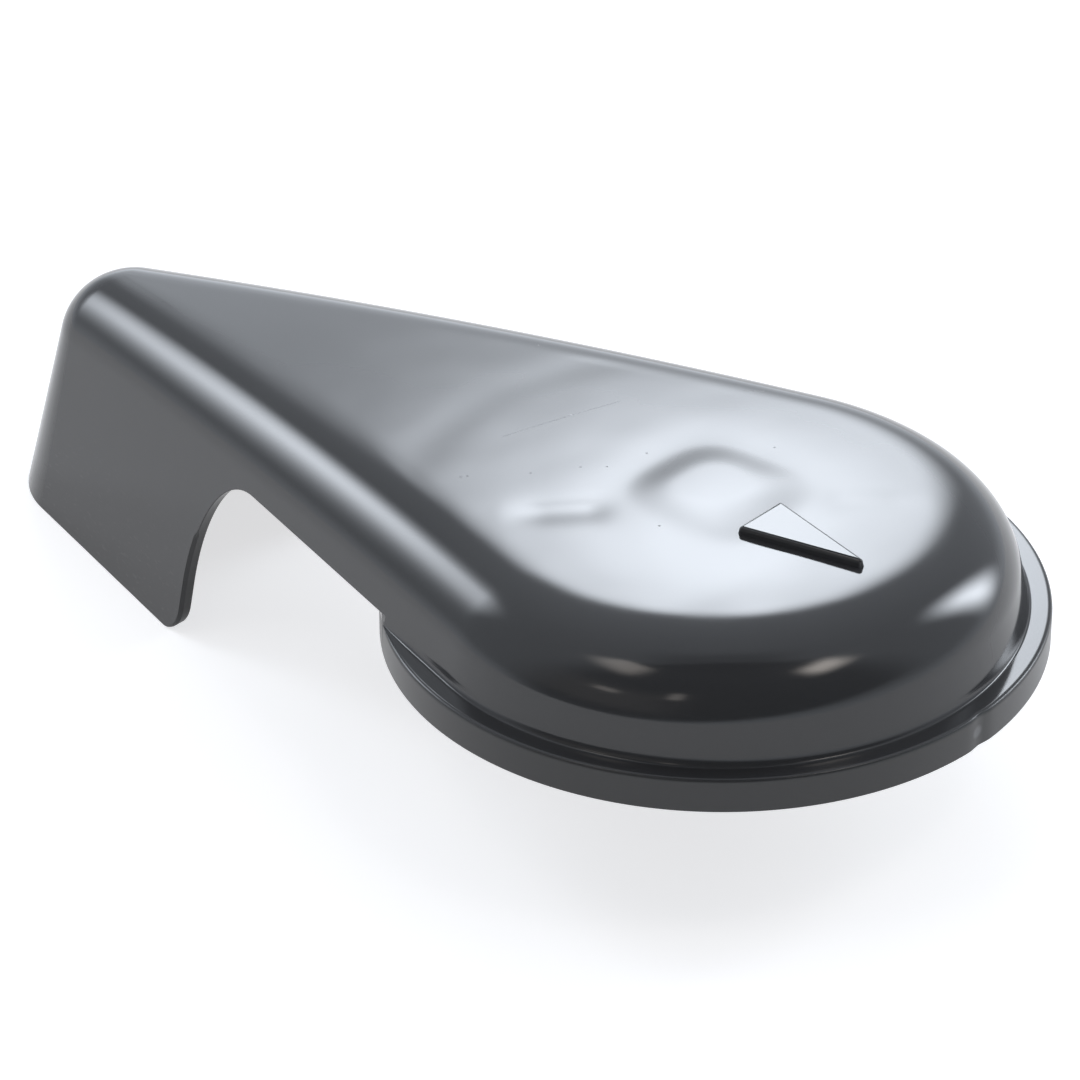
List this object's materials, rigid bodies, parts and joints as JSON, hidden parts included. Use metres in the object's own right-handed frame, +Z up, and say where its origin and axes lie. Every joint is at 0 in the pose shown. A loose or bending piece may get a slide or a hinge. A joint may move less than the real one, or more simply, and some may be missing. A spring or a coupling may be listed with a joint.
{
  "type": "diverter valve handle",
  "caption": "Teardrop lever handle for a diverter valve: hollow moulding with a flanged round end, square stem socket, raised pointer on top and a deep skirt under the tip.",
  "frame": {"origin": "centre of the flange's underside, on the axis of the valve stem", "axes": "+Z up along the stem axis, +X along the lever towards its tip, +Y across the lever"},
  "size_m": [0.1433, 0.075, 0.0342],
  "materials": {
    "handle_plastic": "dark grey glossy moulded plastic"
  },
  "bodies": {
    "root": {"diverter_handle": "handle_plastic"}
  },
  "joints": []
}
